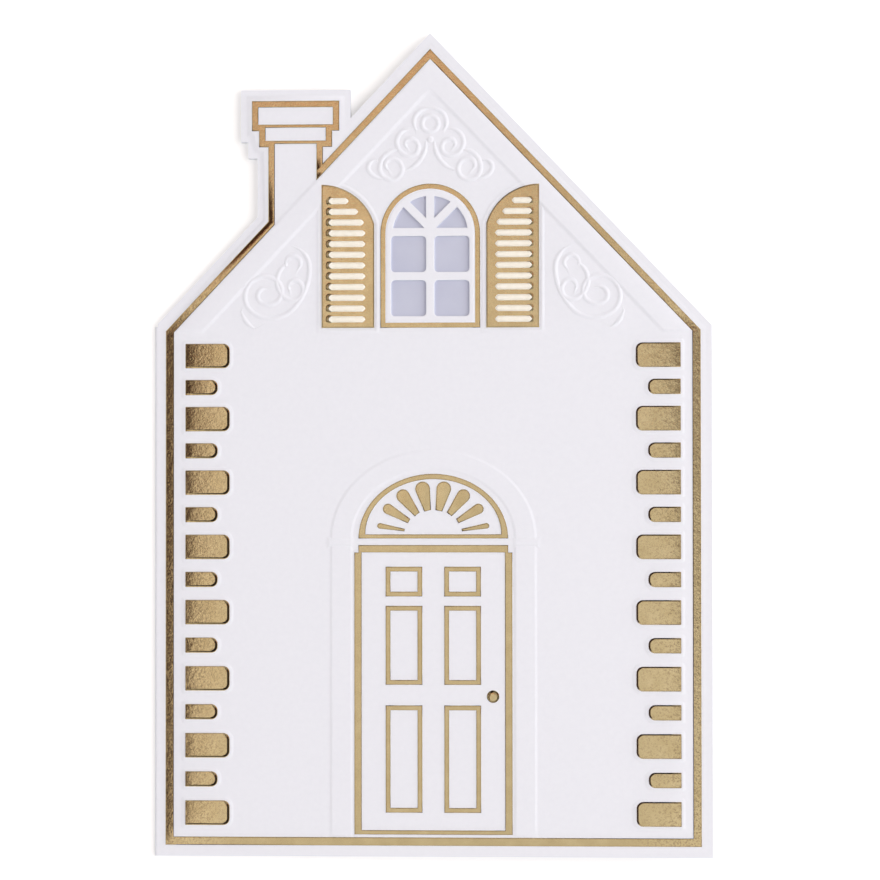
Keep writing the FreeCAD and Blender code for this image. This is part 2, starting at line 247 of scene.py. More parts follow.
house = [(-half_width, 0), (half_width, 0), (half_width, wall_height), (gable_x, peak_height),
         (-half_width, wall_height)]
stem_y = roof_left(chimney_x - stem_half, 0)
tier_y = stem_y + stem_length
cap_y = tier_y + tier_height
top_y = cap_y + cap_height
cap_right = chimney_x + cap_half
outline = np.array(house[:4] + [
    (cap_right, roof_left(cap_right, 0)), (cap_right, top_y), (chimney_x - cap_half, top_y),
    (chimney_x - cap_half, cap_y), (chimney_x - tier_half, cap_y), (chimney_x - tier_half, tier_y),
    (chimney_x - stem_half, tier_y), (chimney_x - stem_half, stem_y)] + house[4:])
panel_edge = np.concatenate([
    [(fold_x, 0)], outline[1:-1], [(fold_x, roof_left(fold_x, 0)), (fold_x, wall_height)]])


def border_loops():
    outer = inset(house, [foil_inset] * 5)
    inner = inset(house, [wall_inset, wall_inset, roof_inset, roof_inset, wall_inset])
    reach = stem_half - foil_inset - chimney_line
    left, right = chimney_x - reach, chimney_x + reach
    loop = [(left, roof_left(left, foil_inset)), outer[4], outer[0], outer[1], outer[2], outer[3],
            (right, roof_left(right, foil_inset)), (right, roof_left(right, roof_inset)), inner[3],
            inner[2], inner[1], inner[0], inner[4], (left, roof_left(left, roof_inset))]
    return [np.array(loop)]


def chimney_loops(depth):
    tier_low, cap_low, cap_high = tier_y + foil_inset, cap_y + foil_inset, top_y - foil_inset
    tier_floor, cap_floor = tier_low + chimney_line, cap_low + chimney_line
    cap, tier, stem = cap_half - foil_inset, tier_half - foil_inset, stem_half - foil_inset
    leg = stem - chimney_line
    ceiling = tier_floor - joint_line
    right = [(leg, roof_left(chimney_x + leg, depth)), (stem, roof_left(chimney_x + stem, depth)),
             (stem, tier_low), (tier, tier_low), (tier, cap_low), (cap, cap_low), (cap, cap_high)]
    left = [(-cap, cap_high), (-cap, cap_low), (-tier, cap_low), (-tier, tier_low), (-stem, tier_low),
            (-stem, roof_left(chimney_x - stem, depth)), (-leg, roof_left(chimney_x - leg, depth)),
            (-leg, ceiling), (leg, ceiling)]
    loops = [np.array(right + left) + [chimney_x, 0]]
    cap, tier = cap - chimney_line, tier - chimney_line
    loops.append(hole(box(chimney_x - cap, cap_floor, chimney_x + cap, cap_high - chimney_line)))
    loops.append(hole(box(chimney_x - tier, tier_floor, chimney_x + tier, cap_floor - joint_line)))
    return loops


def board_loops():
    low = wall_height - band_foot
    edge = half_width - wall_inset
    depth = roof_inset + band_width
    slope_left = gable_height / (gable_x + half_width)
    slope_right = gable_height / (half_width - gable_x)
    inner_left = (low - roof_left(0, depth)) / slope_left
    inner_right = (roof_right(0, depth) - low) / slope_right
    outer_peak = inset(house, [roof_inset] * 5)[3]
    inner_peak = inset(house, [depth] * 5)[3]
    return [np.array([(edge, low), (edge, roof_right(edge, roof_inset)), outer_peak,
                      (-edge, roof_left(-edge, roof_inset)), (-edge, low), (inner_left, low), inner_peak,
                      (inner_right, low)])]


def surround_loop():
    inner, outer, rise = surround_inner, surround_outer, surround_rise
    top = arc(door_x, arch_springing, outer, rise + surround_band, 0, 180, 3.0)
    opening = arc(door_x, arch_springing, inner, rise, 180, -180, 3.0)
    return np.concatenate([[(door_x + inner, wall_inset), (door_x + outer, wall_inset)], top,
                           [(door_x - outer, wall_inset), (door_x - inner, wall_inset)], opening])


def shutter_loop():
    near = gable_x + window_half + shutter_gap
    far = near + shutter_width
    fall = math.degrees(math.acos(-shutter_width / shutter_arc)) - 90
    top = arc(far, shutter_arc_y, shutter_arc, shutter_arc, 90, fall, 3.0)
    return np.concatenate([[(near, window_foot), (far, window_foot)], top])


def slat_loops():
    far_edge = gable_x + window_half + shutter_gap + shutter_width
    loops = []
    for i in range(slat_count):
        y = window_foot + slat_foot + slat_pitch * i
        drop = y + slat_half - shutter_arc_y
        reach = min(shutter_width, math.sqrt(shutter_arc ** 2 - max(drop, 0) ** 2))
        near, far = far_edge - reach + 1.9, far_edge - 1.55
        loops.append(np.array([
            (near, y), (near + 0.2, y - 0.34), (near + 0.6, y - slat_half), (far - 0.6, y - slat_half),
            (far - 0.2, y - 0.34), (far, y), (far - 0.2, y + 0.34), (far - 0.6, y + slat_half),
            (near + 0.6, y + slat_half), (near + 0.2, y + 0.34)]))
    return loops


def pane_loops():
    loops = []
    for row in range(2):
        low = pane_foot + row * (pane_height + muntin)
        for side in (-1, 1):
            left, right = sorted((gable_x + side * muntin / 2, gable_x + side * pane_half))
            loops.append(rounded(left, low, right, low + pane_height, pane_corner, pane_corner, 30.0))
    half = muntin / 2
    sink = window_springing - fan_foot
    bars = [math.radians(a) for a in (0, 45, 90, 135, 180)]
    for first, last in zip(bars, bars[1:]):
        edges = []
        for angle, side in ((first, 1), (last, -1)):
            shift = half if 0.01 < angle < 3.13 else 0.0
            px, py = -math.sin(angle) * side * shift, math.cos(angle) * side * shift
            dx, dy = math.cos(angle), math.sin(angle)
            along = px * dx + (py - sink) * dy
            room = px * px + (py - sink) ** 2 - fan_radius ** 2
            reach = -along + math.sqrt(along * along - room)
            edges.append(((px, py), (dx, dy), (px + reach * dx, py + reach * dy)))
        (p0, d0, e0), (p1, d1, e1) = edges
        t = np.linalg.solve([[d0[0], -d1[0]], [d0[1], -d1[1]]], [p1[0] - p0[0], p1[1] - p0[1]])[0]
        tip = (p0[0] + t * d0[0], p0[1] + t * d0[1])
        a0 = math.degrees(math.atan2(e0[1] - sink, e0[0]))
        a1 = math.degrees(math.atan2(e1[1] - sink, e1[0]))
        rim = arc(0, sink, fan_radius, fan_radius, a0, a1 - a0, 4.0)
        loops.append(np.concatenate([[tip], rim]) + [gable_x, fan_foot])
    return loops


def petal_loops():
    """Drop-shaped petals that fan out from the middle of the fanlight's foot."""
    loops = []
    for i in range(8):
        turn = math.pi * (i + 0.5) / 8
        dx, dy = lintel_half * math.cos(turn), fan_rise * math.sin(turn)
        slim = math.sin(turn) ** 0.6
        x0, y0, x1, y1 = 0.39 * dx, 0.39 * dy, 0.725 * dx, 0.725 * dy
        r0, r1 = 0.76 * slim, 1.62 * slim
        along = math.degrees(math.atan2(y1 - y0, x1 - x0))
        lean = 90 + math.degrees(math.asin((r1 - r0) / math.hypot(x1 - x0, y1 - y0)))
        root = arc(x0, y0, r0, r0, along - lean, 2 * lean, 400)[[0, -1]]
        tip = arc(x1, y1, r1, r1, along - lean, 2 * lean, 12.0)
        loops.append(np.concatenate([root[:1], tip, root[1:]]) + [door_x, arch_springing + 0.75])
    return loops


def door_loops():
    right = [(door_half, door_foot), (door_half, door_top), (lintel_half, door_top),
             (lintel_half, door_top + lintel)]
    outer = np.array(right + [(-x, y) for x, y in right[::-1]]) + [door_x, 0]
    return [outer, hole(box(door_x - door_inner, door_foot + 0.95, door_x + door_inner, door_top))]


def panel_loops():
    low = door_foot + 4.7
    loops = []
    rows = ((low, low + 23.0), (low + 27.4, door_top - 11.45), (door_top - 9.45, door_top - 3.05))
    for foot, head in rows:
        for side in (-1, 1):
            left, right = sorted((door_x + side * 2.35, door_x + side * (door_inner - 5.15)))
            loops.append(box(left, foot, right, head))
            loops.append(hole(box(left + 1.05, foot + 1.05, right - 1.05, head - 1.05)))
    return loops


def fan_loops():
    rise = fan_rise - 1.15 - 0.9
    return [arch(door_x, arch_springing, arch_springing, lintel_half, fan_rise),
            hole(arch(door_x, arch_springing + 0.9, arch_springing + 0.9, lintel_half - 1.5, rise))]


def knob_loop():
    return arc(door_x + door_inner - 2.575, door_foot + 29.6, 1.35, 1.35, 0, 345, 15.0)


def stone_loops(lip):
    last = stone_count - 1
    lowest = wall_inset + stone_gap + long_stone[1] / 2
    highest = wall_height - stone_top_gap - long_stone[1] / 2
    loops = []
    for i in range(stone_count):
        length, height = short_stone if i % 2 else long_stone
        y = lowest + (highest - lowest) * i / last + math.sin(math.pi * i / last)
        reach = height / 2 + lip
        loops.append(rounded(stone_outer - length - lip, y - reach, stone_outer + lip, y + reach,
                             1.4 + lip, 0.15 + lip / 2))
    return loops


# Scrollwork: a start, a heading in degrees, and arcs of (radius, turn in degrees)
gable_strokes = (
    ((0.5, -4.7), 0, ((3.0, -125),)),
    ((4.3, -9.1), 0, ((2.9, -180), (1.8, -180), (1.1, -150))),
    ((0.9, -12.0), -90, ((6.4, 68),)),
    ((7.0, -13.6), 0, ((3.9, -90), (2.6, -90), (2.3, -180), (1.35, -150))),
    ((10.4, -19.8), 0, ((3.2, 60), (1.6, 130))),
)
corner_strokes = (
    ((0.0, 0.0), -35, ((5.0, -55), (12.5, -45), (6.6, -80), (4.3, -180), (2.9, -180), (1.7, -170))),
    ((-2.9, -3.2), 212, ((4.3, 125), (2.2, 170), (1.4, 160))),
    ((-2.9, -3.6), 110, ((1.6, -250),)),
    ((-12.6, -13.4), -75, ((6.0, 45),)),
)


def centre_line(start, heading, arcs):
    x, y = start
    points = [np.array([start])]
    for radius, turn in arcs:
        side = math.copysign(1, turn)
        across = math.radians(heading + 90 * side)
        cx, cy = x + radius * math.cos(across), y + radius * math.sin(across)
        step = min(20.0, math.degrees(0.35 / radius))
        piece = arc(cx, cy, radius, radius, heading - 90 * side, turn, step)[1:]
        points.append(piece)
        x, y = piece[-1]
        heading += turn
    return np.concatenate(points)


def scroll_ridges():
    """Each ridge: the points of its line, its half width at each, and its height."""
    top = window_springing + window_half + 20.95
    lines = []
    for (x, y), heading, arcs in gable_strokes:
        line = centre_line((gable_x + x, top + y), heading, arcs)
        lines += [line, mirrored(line, gable_x)]
    for (x, y), heading, arcs in corner_strokes:
        line = centre_line((x - 28.6, wall_height + 16.6 + y), heading, arcs)
        lines += [line, mirrored(line)]
    lines.append(arc(gable_x, top - 8.0, 1.75, 1.75, 0, 360, 12.0))
    lines.append(arc(gable_x, top - 11.4, 0.25, 0.25, 0, 360, 60.0))
    ridges = []
    for line in lines:
        run = np.concatenate([[0], np.cumsum(np.linalg.norm(np.diff(line, axis=0), axis=1))])
        near_end = np.minimum(run, run[-1] - run)
        closed = np.linalg.norm(line[0] - line[-1]) < 1e-6
        width = np.full(len(line), ridge_half) if closed else 0.36 + 0.3 * smooth(near_end / 2.2)
        ridges.append((line, width, ridge_rise))
    return ridges


# Layers of relief: loops, rise, how far the edge runs out and in, a dome's extra height, or the drop
# towards the card's edge where it is below 0, and the height at which a slope is cut off
layers = []


def layer(loops, rise, out, inward, dome=0.0, top=uncut):
    layers.append((loops, rise, out, inward, dome, top))


def both(loops, x=0.0):
    return loops + [mirrored(loop, x) for loop in loops]


panes = pane_loops()
shutters = both([shutter_loop()], gable_x)
stones = both(stone_loops(0))
layer(board_loops(), 0.2, 0.5, 0.5)
layer([surround_loop()], 0.12, 0.15, 0.6)
for side in (-1, 1):
    ends = sorted((door_x + side * surround_inner, door_x + side * impost_outer))
    layer([box(ends[0], arch_springing - impost_height, ends[1], arch_springing)], 0.2, 0.45, 0.6)
window_arch = arch(gable_x, window_foot, window_springing, window_half, window_half)
foil_fields = (border_loops(), chimney_loops(roof_inset), fan_loops(), door_loops(), panel_loops(),
               [window_arch])
for loops in foil_fields:
    layer(loops, foil_rise, foil_out, foil_in)
sash_arch = arch(gable_x, window_foot + window_line, window_springing, window_half - window_line,
                 window_half - window_line)
layer([shifted(sash_arch, 0.12)], 0.24, 0.1, 0.25)
for loop in petal_loops():
    layer([loop], foil_rise, foil_out, 0.2, 0.04)
layer([knob_loop()], 0.22, 0.12, 0.5, 0.12)
for loop in shutters:
    layer([shifted(loop, -0.9), hole(shifted(loop, -0.3))], 0.1, 0.35, 0.3)
    layer([loop], 0.35, 0.1, 0.28)
for loop in slat_loops():
    far, y = loop[:, 0].max(), loop[:, 1].mean()
    right_end = rounded(far - 0.9, y - 0.72, far + 0.15, y + 0.72, 0.3, 0.55, 30.0)
    left_end = mirrored(rounded(far - 0.9, y - 0.75, far + 0.38, y + 0.75, 0.3, 0.6, 30.0), gable_x)
    for slat_end in (right_end, left_end):
        layer([slat_end], 0.58, 0.54, 0.41)
for loop in both(slat_loops(), gable_x):
    layer([loop], 0.56, 0.24, 0.36)
for loop in both(stone_loops(stone_lip)):
    layer([loop], 0.1, 0.35, 0.3)
# Each stone: the run of its inner slope, and how far its crest keeps off the low and the high side
for right_stone, left_stone in zip(stones, stones[stone_count:]):
    for loop, end, low_gap, high_gap in ((right_stone, 0.6, 0.1, 0.15), (left_stone, 0.9, 0.3, 0.0)):
        (near, low), (far, high) = np.abs(loop).min(0), np.abs(loop).max(0)
        drop = -0.12 - 0.12 * (low / wall_height) ** 2
        layer([loop], stone_rise, 0.3, end, drop, stone_top)
        crest = rounded(near + 0.75 * end, low + low_gap, far, high - high_gap, 1.1, 0.15)
        layer([crest if loop is right_stone else mirrored(crest)], stone_top, 0.03, 0.12, drop)
ridges = scroll_ridges()


def plateau(points):
    """The rim, the slope up from it, and the house front, which bends down a little beside its walls."""
    up = smooth((signed(points, [outline]) - margin) / bevel)
    reach = np.clip((signed(points, [np.array(house, float)]) - margin - bevel) / edge_run, 0, 1)
    share = smooth((wall_height + lean_rise - points[:, 1]) / lean_fade)
    lean = edge_lean * (1 - reach) ** 1.5 * share
    return -house_rise * (1 - up) - lean * up


def near_box(points, low, high, room):
    return np.flatnonzero(((points > low - room) & (points < high + room)).all(1))


def relief(points):
    height = np.zeros(len(points))
    for loops, rise, out, inward, dome, top in layers:
        every = np.concatenate(loops)
        low, high = every.min(0), every.max(0)
        near = near_box(points, low, high, out)
        if not len(near):
            continue
        share = smooth((signed(points[near], loops) + out) / (out + inward))
        full = np.minimum(share * max(rise / top, 1), 1)
        value = min(rise, top) * full
        part = (points[near] - (low + high) / 2) / ((high - low) / 2)
        if dome > 0:
            value = value + dome * full * np.clip(1 - part ** 2, 0, 1).prod(1)
        elif dome < 0:
            outer = (1 + part[:, 0] * math.copysign(1, low[0])) / 2
            value = value + dome * full * np.clip(outer, 0, 1) ** 2
        height[near] = np.maximum(height[near], value)
    for line, width, rise in ridges:
        near = near_box(points, line.min(0), line.max(0), 0.8)
        if not len(near):
            continue
        spot = points[near]
        best = np.full(len(near), 1e9)
        reach = np.ones(len(near))
        for a, b, wa, wb in zip(line, line[1:], width, width[1:]):
            d = b - a
            t = np.clip(((spot - a) @ d) / (d @ d), 0, 1)
            gap = np.linalg.norm(a + t[:, None] * d - spot, axis=1)
            closer = gap < best
            best = np.where(closer, gap, best)
            reach = np.where(closer, wa + t * (wb - wa), reach)
        value = rise * (reach / ridge_half) * np.clip(1 - (best / reach) ** 2, 0, 1) ** 1.7
        height[near] = np.maximum(height[near], value)
    return height


def surface_normals(points, heights):
    step = 0.015
    slopes = []
    for shift in ((step, 0), (0, step)):
        ahead, behind = points + shift, points - shift
        slopes.append((heights(ahead) - heights(behind)) / (2 * step))
    normal = np.column_stack([-slopes[0], -slopes[1], np.ones(len(points))])
    return normal / np.linalg.norm(normal, axis=1)[:, None]


# Triangles between the contours
def triangulated(loops, lines=()):
    points, edges = [], []
    for loop in loops:
        first = len(points)
        points += [tuple(p) for p in loop]
        edges += [(first + i, first + (i + 1) % len(loop)) for i in range(len(loop))]
    for line in lines:
        first = len(points)
        points += [tuple(p) for p in line]
        edges += [(first + i, first + i + 1) for i in range(len(line) - 1)]
    made = delaunay_2d_cdt(points, edges, [], 0, 1e-4)
    return np.array([tuple(p) for p in made[0]]), np.array([f for f in made[2] if len(f) == 3])


def kept(points, faces, loops):
    centre = points[faces].mean(1)
    return faces[signed(centre, loops) > 0]


def upright(points, faces):
    a, b, c = (points[faces[:, i]] for i in range(3))
    turn = (b[:, 0] - a[:, 0]) * (c[:, 1] - a[:, 1]) - (b[:, 1] - a[:, 1]) * (c[:, 0] - a[:, 0])
    faces = faces[np.abs(turn) > 1e-9]
    turn = turn[np.abs(turn) > 1e-9]
    return np.where(turn[:, None] > 0, faces, faces[:, ::-1])


def rim_edges(faces):
    """The directed edges that only one triangle has."""
    edges = faces[:, [0, 1, 1, 2, 2, 0]].reshape(-1, 2)
    ordered = np.sort(edges, axis=1)
    _, index, count = np.unique(ordered, axis=0, return_index=True, return_counts=True)
    return edges[index[count == 1]]


def divided(loop, step=3.0):
    """The loop with its long edges cut up."""
    points = []
    for a, b in zip(loop, np.roll(loop, -1, axis=0)):
        count = max(1, math.ceil(np.linalg.norm(b - a) / step))
        points += [a + (b - a) * i / count for i in range(count)]
    return np.array(points)


slopes = [margin + bevel * share for share in (0, 0.25, 0.5, 0.75, 1)]
slope_loops = [inset(outline, [s] * len(outline)) for s in slopes]
contours, lines = [panel_edge] + slope_loops, []
for loops, rise, out, inward, dome, top in layers:
    marks = [-out - ring_gap, -0.5 * out, 0.0, 0.35 * inward, 0.7 * inward, inward + ring_gap]
    if top < rise:
        marks = [-out - ring_gap, -0.3 * out, 0.0, 0.25 * inward, 0.5 * inward,
                 0.65 * inward + ring_gap]
    contours += [divided(shifted(loop, mark)) for loop in loops for mark in marks]
for line, width, rise in ridges:
    along = np.gradient(line, axis=0)
    along /= np.linalg.norm(along, axis=1)[:, None]
    normal = np.column_stack([-along[:, 1], along[:, 0]]) * width[:, None]
    lines += [line + normal * share for share in (-1, -0.7, -0.35, 0, 0.35, 0.7, 1)]
for loop in panes:
    contours += [loop, shifted(loop, -0.12), shifted(loop, -pane_lip)]
for loop in stones:
    low, high = loop.min(0), loop.max(0)
    for share in (0.25, 0.5, 0.75):
        x = low[0] + (high[0] - low[0]) * share
        lines.append(np.array([(x, low[1] + 0.5), (x, (low[1] + high[1]) / 2), (x, high[1] - 0.5)]))

flat, triangles = triangulated(contours, lines)
triangles = upright(flat, kept(flat, triangles, [panel_edge] + [hole(p) for p in panes]))


def front_height(points):
    pane_edge = signed(points, panes)
    return plateau(points) + relief(points) - pane_dip * smooth(1 + pane_edge / pane_lip)


def opened(points, heights):
    """Frame metres from flat millimetres: turned up about the fold and moved to the middle."""
    dx, dz = points[:, 0] - fold_x, house_z + heights - fold_outer
    x = fold_x + dx * math.cos(open_angle) - dz * math.sin(open_angle)
    z = fold_outer + dx * math.sin(open_angle) + dz * math.cos(open_angle)
    return np.column_stack([x, points[:, 1] - peak_height / 2, z]) * to_metres


def turned(normals):
    x = normals[:, 0] * math.cos(open_angle) - normals[:, 2] * math.sin(open_angle)
    z = normals[:, 0] * math.sin(open_angle) + normals[:, 2] * math.cos(open_angle)
    return np.column_stack([x, normals[:, 1], z])


height = front_height(flat)
normal = turned(surface_normals(flat, front_height))


class Solid:
    """Triangles with a normal at each corner, joined at shared places."""

    def __init__(self):
        self.corners, self.normals, self.slots = [], [], []

    def add(self, corners, normals=None, slots=0):
        corners = np.asarray(corners, float).reshape(-1, 3, 3)
        self.slots.append(np.full(len(corners), slots, np.int32) if np.isscalar(slots) else slots)
        if normals is None:
            flat_normal = np.cross(corners[:, 1] - corners[:, 0], corners[:, 2] - corners[:, 0])
            flat_normal /= np.maximum(np.linalg.norm(flat_normal, axis=1), 1e-30)[:, None]
            normals = np.repeat(flat_normal[:, None], 3, axis=1)
        self.corners.append(corners)
        self.normals.append(np.asarray(normals, float).reshape(-1, 3, 3))

    def quads(self, a, b, c, d, na=None, nb=None):
        """Quads a, b, c, d, with a and d sharing one normal and b and c the other."""
        first, second = np.stack([a, b, c], 1), np.stack([a, c, d], 1)
        if na is None:
            self.add(first)
            self.add(second)
        else:
            self.add(first, np.stack([na, nb, nb], 1))
            self.add(second, np.stack([na, nb, na], 1))

    def make(self, name, *materials):
        corners = np.concatenate(self.corners).reshape(-1, 3)
        normals = np.concatenate(self.normals)
        keys = np.round(corners * 1e7).astype(np.int64)
        _, index, inverse = np.unique(keys, axis=0, return_index=True, return_inverse=True)
        faces = inverse.reshape(-1, 3)
        good = (faces[:, 0] != faces[:, 1]) & (faces[:, 1] != faces[:, 2]) & (faces[:, 2] != faces[:, 0])
        mesh = bpy.data.meshes.new(name)
        mesh.from_pydata(corners[index].tolist(), [], faces[good].tolist())
        mesh.polygons.foreach_set("use_smooth", np.ones(int(good.sum()), bool))
        mesh.update()
        mesh.normals_split_custom_set(normals[good].reshape(-1, 3).tolist())
        for material in materials:
            mesh.materials.append(material)
        mesh.polygons.foreach_set("material_index", np.concatenate(self.slots)[good])
        made = bpy.data.objects.new(name, mesh)
        bpy.context.scene.collection.objects.link(made)
        return made


# Materials
def material(name):
    made = bpy.data.materials.new(name)
    made.use_nodes = True
    return made, made.node_tree, made.node_tree.nodes["Principled BSDF"]


def noise(tree, place, scale, detail, roughness=0.5):
    node = tree.nodes.new("ShaderNodeTexNoise")
    node.inputs["Scale"].default_value = scale
    node.inputs["Detail"].default_value = detail
    node.inputs["Roughness"].default_value = roughness
    tree.links.new(place, node.inputs["Vector"])
    return node.outputs["Fac"]


def ramp(tree, value, stops):
    node = tree.nodes.new("ShaderNodeValToRGB")
    tree.links.new(value, node.inputs["Fac"])
    elements = node.color_ramp.elements
    while len(elements) < len(stops):
        elements.new(0.5)
    for element, (position, colour) in zip(elements, stops):
        element.position = position
        element.color = (*colour, 1)
    return node.outputs["Color"]


def bump(tree, value, distance, strength, under=None):
    node = tree.nodes.new("ShaderNodeBump")
    node.inputs["Distance"].default_value = distance
    node.inputs["Strength"].default_value = strength
    tree.links.new(value, node.inputs["Height"])
    if under is not None:
        tree.links.new(under, node.inputs["Normal"])
    return node.outputs["Normal"]


def object_place(tree, scale=(1, 1, 1)):
    where = tree.nodes.new("ShaderNodeTexCoord")
    mapping = tree.nodes.new("ShaderNodeMapping")
    mapping.inputs["Scale"].default_value = scale
    tree.links.new(where.outputs["Object"], mapping.inputs["Vector"])
    return mapping.outputs["Vector"]


def span(tree, value, low, high, to_low=0.0, to_high=1.0):
    node = tree.nodes.new("ShaderNodeMapRange")
    for name, number in (("From Min", low), ("From Max", high), ("To Min", to_low), ("To Max", to_high)):
        node.inputs[name].default_value = number
    tree.links.new(value, node.inputs["Value"])
    return node.outputs["Result"]


def product(tree, first, second):
    node = tree.nodes.new("ShaderNodeMath")
    node.operation = "MULTIPLY"
    tree.links.new(first, node.inputs[0])
    tree.links.new(second, node.inputs[1])
    return node.outputs[0]


def paper_material(name, dull, clear):
    made, tree, shader = material(name)
    place = object_place(tree)
    mottle = noise(tree, place, 900, 6, 0.6)
    tree.links.new(ramp(tree, mottle, ((0.3, dull), (0.7, clear))), shader.inputs["Base Color"])
    shader.inputs["Roughness"].default_value = 0.72
    shader.inputs["Specular IOR Level"].default_value = 0.3
    grain = noise(tree, place, 3500, 4, 0.6)
    tooth = noise(tree, object_place(tree, (1, 0.4, 1)), 1300, 3)
    rough = bump(tree, tooth, 0.00003, 0.35)
    tree.links.new(bump(tree, grain, 0.00002, 0.3, rough), shader.inputs["Normal"])
    return made


def foil_material():
    made, tree, shader = material("gold_foil")
    place = object_place(tree)
    axes = tree.nodes.new("ShaderNodeSeparateXYZ")
    tree.links.new(place, axes.inputs[0])
    aside = tree.nodes.new("ShaderNodeMath")
    aside.operation = "ABSOLUTE"
    tree.links.new(axes.outputs["X"], aside.inputs[0])
    worn = span(tree, aside.outputs[0], 0.04, 0.054)
    mottle = noise(tree, place, 260, 5, 0.6)
    cast = ramp(tree, mottle, ((0.3, (0.49, 0.38, 0.2)), (0.7, (0.56, 0.445, 0.25))))
    tone = tree.nodes.new("ShaderNodeVectorMath")
    tone.operation = "SCALE"
    tree.links.new(cast, tone.inputs[0])
    tree.links.new(span(tree, worn, 0, 1, 0.93, 1.06), tone.inputs["Scale"])
    specks = span(tree, noise(tree, place, 2400, 3, 0.7), 0.5, 0.62)
    colour = tree.nodes.new("ShaderNodeMix")
    colour.data_type = "RGBA"
    tree.links.new(product(tree, specks, span(tree, worn, 0, 1, 0, 0.6)), colour.inputs["Factor"])
    tree.links.new(tone.outputs["Vector"], colour.inputs["A"])
    colour.inputs["B"].default_value = (0.22, 0.14, 0.075, 1)
    # Painted reflection: foil slopes that face the middle of the card, on both sides, are mixed towards
    # near-black. This stands in for the dark surroundings that such steep slopes would reflect.
    facing = tree.nodes.new("ShaderNodeVectorMath")
    facing.operation = "DOT_PRODUCT"
    facing.inputs[1].default_value = (-1, 0.5, 0)
    tree.links.new(tree.nodes.new("ShaderNodeTexCoord").outputs["Normal"], facing.inputs[0])
    painted_dark_reflection = span(tree, product(tree, facing.outputs["Value"], axes.outputs["X"]), 0.007, 0.014)
    dark_reflection_mix = tree.nodes.new("ShaderNodeMix")
    dark_reflection_mix.data_type = "RGBA"
    tree.links.new(painted_dark_reflection, dark_reflection_mix.inputs["Factor"])
    tree.links.new(colour.outputs["Result"], dark_reflection_mix.inputs["A"])
    dark_reflection_mix.inputs["B"].default_value = (0.06, 0.035, 0.022, 1)
    tree.links.new(dark_reflection_mix.outputs["Result"], shader.inputs["Base Color"])
    shader.inputs["Metallic"].default_value = 1
    tree.links.new(span(tree, noise(tree, place, 1200, 3), 0, 1, 0.1, 0.2), shader.inputs["Roughness"])
    wave = bump(tree, noise(tree, place, 70, 2), 0.0002, 0.15)
    crackle = bump(tree, product(tree, noise(tree, place, 900, 4, 0.65), worn), 0.0001, 0.5, wave)
    grain = noise(tree, place, 2600, 3, 0.6)
    tree.links.new(bump(tree, grain, 0.00003, 0.6, crackle), shader.inputs["Normal"])
    return made


def glazing_material():
    made, tree, shader = material("window_film")
    place = object_place(tree)
    cloud = noise(tree, place, 120, 3)
    colour = ramp(tree, cloud, ((0.3, (0.51, 0.535, 0.67)), (0.7, (0.56, 0.585, 0.71))))
    tree.links.new(colour, shader.inputs["Base Color"])
    shader.inputs["Roughness"].default_value = 0.35
    return made


paper_white = paper_material("paper", (0.79, 0.805, 0.868), (0.81, 0.825, 0.886))
# The louvres' cream is painted light: warm light that the gold foil round them throws back onto the same
# white paper
paper_gold_glow = paper_material("louvre_paper_painted_glow", (0.87, 0.825, 0.72), (0.93, 0.895, 0.81))
gold = foil_material()
film = glazing_material()

# The folded sheet
sheet = Solid()
top = opened(flat, height)
# Louvre faces take the second material, with its painted warm glow
louvre = signed(flat[triangles].mean(1), both(slat_loops(), gable_x)) > 0
sheet.add(top[triangles], normal[triangles], louvre.astype(np.int32))
under_flat, under_faces = triangulated([panel_edge, slope_loops[0], slope_loops[-1]] + panes)
under_faces = upright(under_flat, kept(under_flat, under_faces, [panel_edge] + [hole(p) for p in panes]))
under = opened(under_flat, plateau(under_flat) - paper)
sheet.add(under[under_faces[:, ::-1]])


def place_key(point):
    return round(point[0] * 1000), round(point[1] * 1000)


def on_fold(a, b):
    return max(a[0], b[0]) < fold_x + 1e-4 and max(a[1], b[1]) < wall_height + 1e-4


below = {place_key(p): i for i, p in enumerate(under_flat)}
for a, b in rim_edges(triangles):
    if not on_fold(flat[a], flat[b]):
        c, d = below[place_key(flat[b])], below[place_key(flat[a])]
        sheet.quads(top[[a]], under[[d]], under[[c]], top[[b]])

back_flat, back_faces = triangulated([panel_edge])
back_faces = upright(back_flat, kept(back_flat, back_faces, [panel_edge]))
back = {z: np.column_stack([back_flat[:, 0], back_flat[:, 1] - peak_height / 2,
                            np.full(len(back_flat), z)]) * to_metres for z in (0.0, paper)}
sheet.add(back[paper][back_faces])
sheet.add(back[0.0][back_faces[:, ::-1]])
for a, b in rim_edges(back_faces):
    if not on_fold(back_flat[a], back_flat[b]):
        sheet.quads(back[paper][[a]], back[0.0][[a]], back[0.0][[b]], back[paper][[b]])

fold_steps = np.linspace(-math.pi / 2, math.pi / 2 + open_angle, fold_points)
fold_angles = -math.pi - (fold_steps + math.pi / 2) + math.pi / 2
across = np.column_stack([np.cos(fold_angles), np.zeros(fold_points), np.sin(fold_angles)])
centre = np.array([fold_x, 0, fold_outer])
ends = []
for y in (0.0, wall_height):
    ends.append([(centre + radius * across + [0, y - peak_height / 2, 0]) * to_metres
                 for radius in (fold_outer, fold_inner)])
(outer0, inner0), (outer1, inner1) = ends
sheet.quads(outer0[:-1], outer0[1:], outer1[1:], outer1[:-1], across[:-1], across[1:])
sheet.quads(inner0[1:], inner0[:-1], inner1[:-1], inner1[1:], -across[1:], -across[:-1])
sheet.quads(outer0[1:], outer0[:-1], inner0[:-1], inner0[1:])
sheet.quads(outer1[:-1], outer1[1:], inner1[1:], inner1[:-1])
folded_sheet = sheet.make("folded_sheet", paper_white, paper_gold_glow)
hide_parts("card")
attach(folded_sheet, "root")


